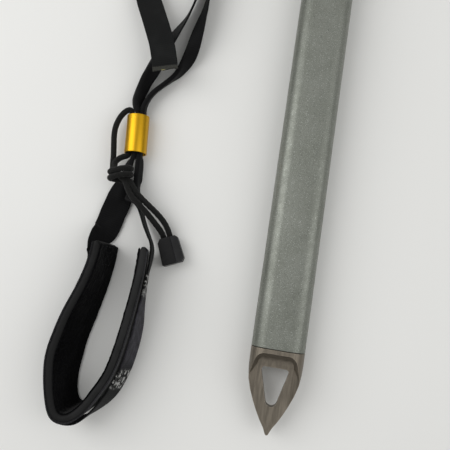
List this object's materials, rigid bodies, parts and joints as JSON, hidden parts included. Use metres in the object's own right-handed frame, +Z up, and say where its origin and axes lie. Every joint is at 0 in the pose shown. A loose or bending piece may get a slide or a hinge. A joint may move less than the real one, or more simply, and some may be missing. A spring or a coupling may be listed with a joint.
{
  "type": "ice axe",
  "caption": "Mountaineering ice axe with pick, adze and scooped spike, lying beside its webbing wrist leash with a sliding tube and padded loop.",
  "frame": {"origin": "centre of the round carabiner eye in the head, in the middle of its plate", "axes": "+Y along the shaft from the spike towards the head, +Z up from the surface the axe lies on, +X towards the adze"},
  "size_m": [0.2615, 0.6101, 0.0541],
  "materials": {
    "shaft_coat": "satin metallic powder coat, grey green",
    "head_steel": "dark satin forged steel",
    "spike_steel": "brushed warm grey steel",
    "rivet_steel": "plain satin steel",
    "plug_plastic": "black moulded plastic",
    "webbing": "black woven webbing",
    "tail_webbing": "dark grey woven webbing with a heat-cut end",
    "gold_tube": "polished gold anodised",
    "cord": "black braided cord",
    "cord_end_plastic": "black moulded plastic",
    "buckle_plastic": "black moulded plastic",
    "pad_lining": "black pile",
    "pad_foam": "smooth dark grey closed-cell foam",
    "pad_shell": "dark grey fabric with worn pale marks",
    "thread": "black sewing thread"
  },
  "bodies": {
    "axe": {"shaft_tube": "shaft_coat", "head_plate": "head_steel", "head_plug": "plug_plastic", "head_rivets": "rivet_steel", "adze": "head_steel", "adze_rivets": "rivet_steel", "spike": "spike_steel", "spike_pin": "rivet_steel", "hitch_loop": "webbing", "hitch_band": "webbing"},
    "leash": {"strap_left_upper": "webbing", "buckle": "buckle_plastic", "strap_left_lower": "webbing", "strap_right": "webbing", "strap_bundle": "webbing"},
    "tail": {"strap_tail": "tail_webbing"},
    "slider": {"slider_tube": "gold_tube", "pull_cord_loop": "cord", "cord_knot": "cord"},
    "cord": {"cord_tails": "cord", "cord_end_body": "cord_end_plastic", "cord_end_lid": "cord_end_plastic"},
    "wrist": {"wrist_webbing": "webbing", "wrist_shell": "pad_shell", "wrist_foam": "pad_foam", "wrist_lining": "pad_lining", "wrist_stitching": "thread"}
  },
  "joints": [
    {"name": "leash_swing", "type": "hinge", "parent": "axe", "child": "leash", "pos_m": [-0.028, -0.036, -0.00309], "axis": [0, 0, 1], "range_deg": [-60, 3]},
    {"name": "slider_slide", "type": "slide", "parent": "leash", "child": "slider", "axis": [-0.0854, 0.9963, 0], "range_m": [0, 0.024], "deforming": ["strap_left_lower", "strap_right"]},
    {"name": "wrist_fold", "type": "hinge", "parent": "leash", "child": "wrist", "pos_m": [-0.0968, -0.4495, -0.01149], "axis": [0, 0, 1], "range_deg": [-30, 0], "deforming": ["wrist_webbing"]},
    {"name": "cord_swing", "type": "hinge", "parent": "slider", "child": "cord", "pos_m": [-0.0984, -0.4563, -0.00319], "axis": [0, 0, 1], "range_deg": [0, 57]},
    {"name": "tail_lift", "type": "hinge", "parent": "leash", "child": "tail", "pos_m": [-0.09, -0.2405, -0.01449], "axis": [-0.9563, 0.2924, 0], "range_deg": [0, 50]}
  ]
}
